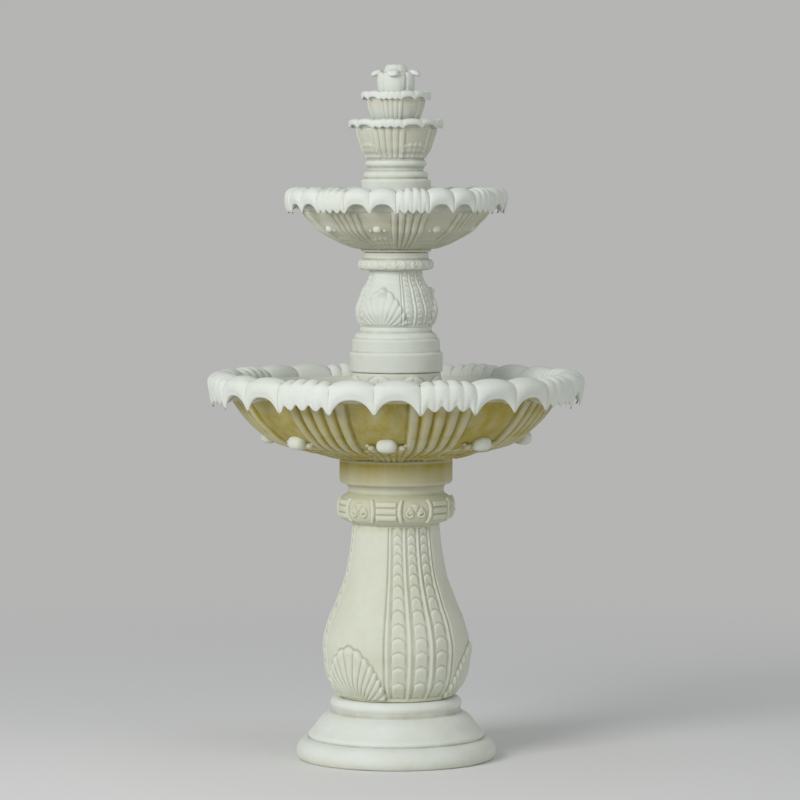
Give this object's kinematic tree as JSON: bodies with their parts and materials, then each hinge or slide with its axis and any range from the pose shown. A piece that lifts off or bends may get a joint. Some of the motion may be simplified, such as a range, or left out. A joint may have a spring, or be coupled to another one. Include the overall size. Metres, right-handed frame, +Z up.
{
  "type": "tiered water fountain",
  "caption": "Stacked garden fountain: stepped foot, carved vase pedestal, scalloped bowls of falling size, a carved column, a petalled finial and a submersible pump inside.",
  "frame": {"origin": "centre of the foot's underside, on the ground", "axes": "+Z up the fountain's axis, -Y the front, +X to the right seen from the front"},
  "size_m": [0.801, 0.801, 1.471],
  "materials": {
    "cast_stone": "matte",
    "black_plastic": "satin",
    "grey_plastic": "satin",
    "white_plastic": "satin",
    "clear_tube": "gloss",
    "black_rubber": "matte",
    "sponge": "matte",
    "clamp_steel": "satin",
    "nozzle_brass": "satin",
    "ferrite": "matte",
    "shaft_ceramic": "gloss"
  },
  "bodies": {
    "pedestal": {"base_foot": "cast_stone", "pedestal_vase": "cast_stone", "lower_bowl": "cast_stone", "pump_riser": "cast_stone", "pump_housing": "black_plastic", "cable_gland": "grey_plastic", "volute_cover": "black_plastic", "cover_seal": "black_rubber", "impeller_shaft": "shaft_ceramic", "shaft_bushes": "black_rubber", "intake_cover": "grey_plastic", "filter_sponge": "sponge", "suction_cups": "black_rubber"},
    "impeller": {"impeller": "white_plastic", "impeller_magnet": "ferrite"},
    "flow_dial": {"flow_dial": "white_plastic"},
    "stopper": {"bowl_stopper": "black_rubber"},
    "column": {"column": "cast_stone", "upper_bowl": "cast_stone", "lower_tube": "clear_tube", "lower_tube_clamp": "clamp_steel", "bulkhead_fitting": "grey_plastic", "bulkhead_washer": "black_rubber", "bulkhead_nut": "grey_plastic", "upper_tube": "clear_tube", "upper_tube_clamp": "clamp_steel"},
    "third_tier": {"third_bowl": "cast_stone"},
    "fourth_tier": {"fourth_bowl": "cast_stone"},
    "finial": {"finial": "cast_stone", "spout_nozzle": "nozzle_brass"}
  },
  "joints": [
    {"name": "column_lift", "type": "slide", "parent": "pedestal", "child": "column", "axis": [0, 0, 1], "range_m": [0, 0.2]},
    {"name": "third_tier_lift", "type": "slide", "parent": "column", "child": "third_tier", "axis": [0, 0, 1], "range_m": [0, 0.15]},
    {"name": "fourth_tier_lift", "type": "slide", "parent": "third_tier", "child": "fourth_tier", "axis": [0, 0, 1], "range_m": [0, 0.1]},
    {"name": "finial_lift", "type": "slide", "parent": "fourth_tier", "child": "finial", "axis": [0, 0, 1], "range_m": [0, 0.08]},
    {"name": "stopper_pull", "type": "slide", "parent": "pedestal", "child": "stopper", "axis": [0, 0, 1], "range_m": [0, 0.05]},
    {"name": "impeller_spin", "type": "hinge", "parent": "pedestal", "child": "impeller", "pos_m": [0, 0, 0.716], "axis": [1, 0, 0], "continuous": true},
    {"name": "flow_dial_turn", "type": "hinge", "parent": "pedestal", "child": "flow_dial", "pos_m": [-0.057, 0, 0.716], "axis": [1, 0, 0], "range_deg": [0, 90]}
  ]
}
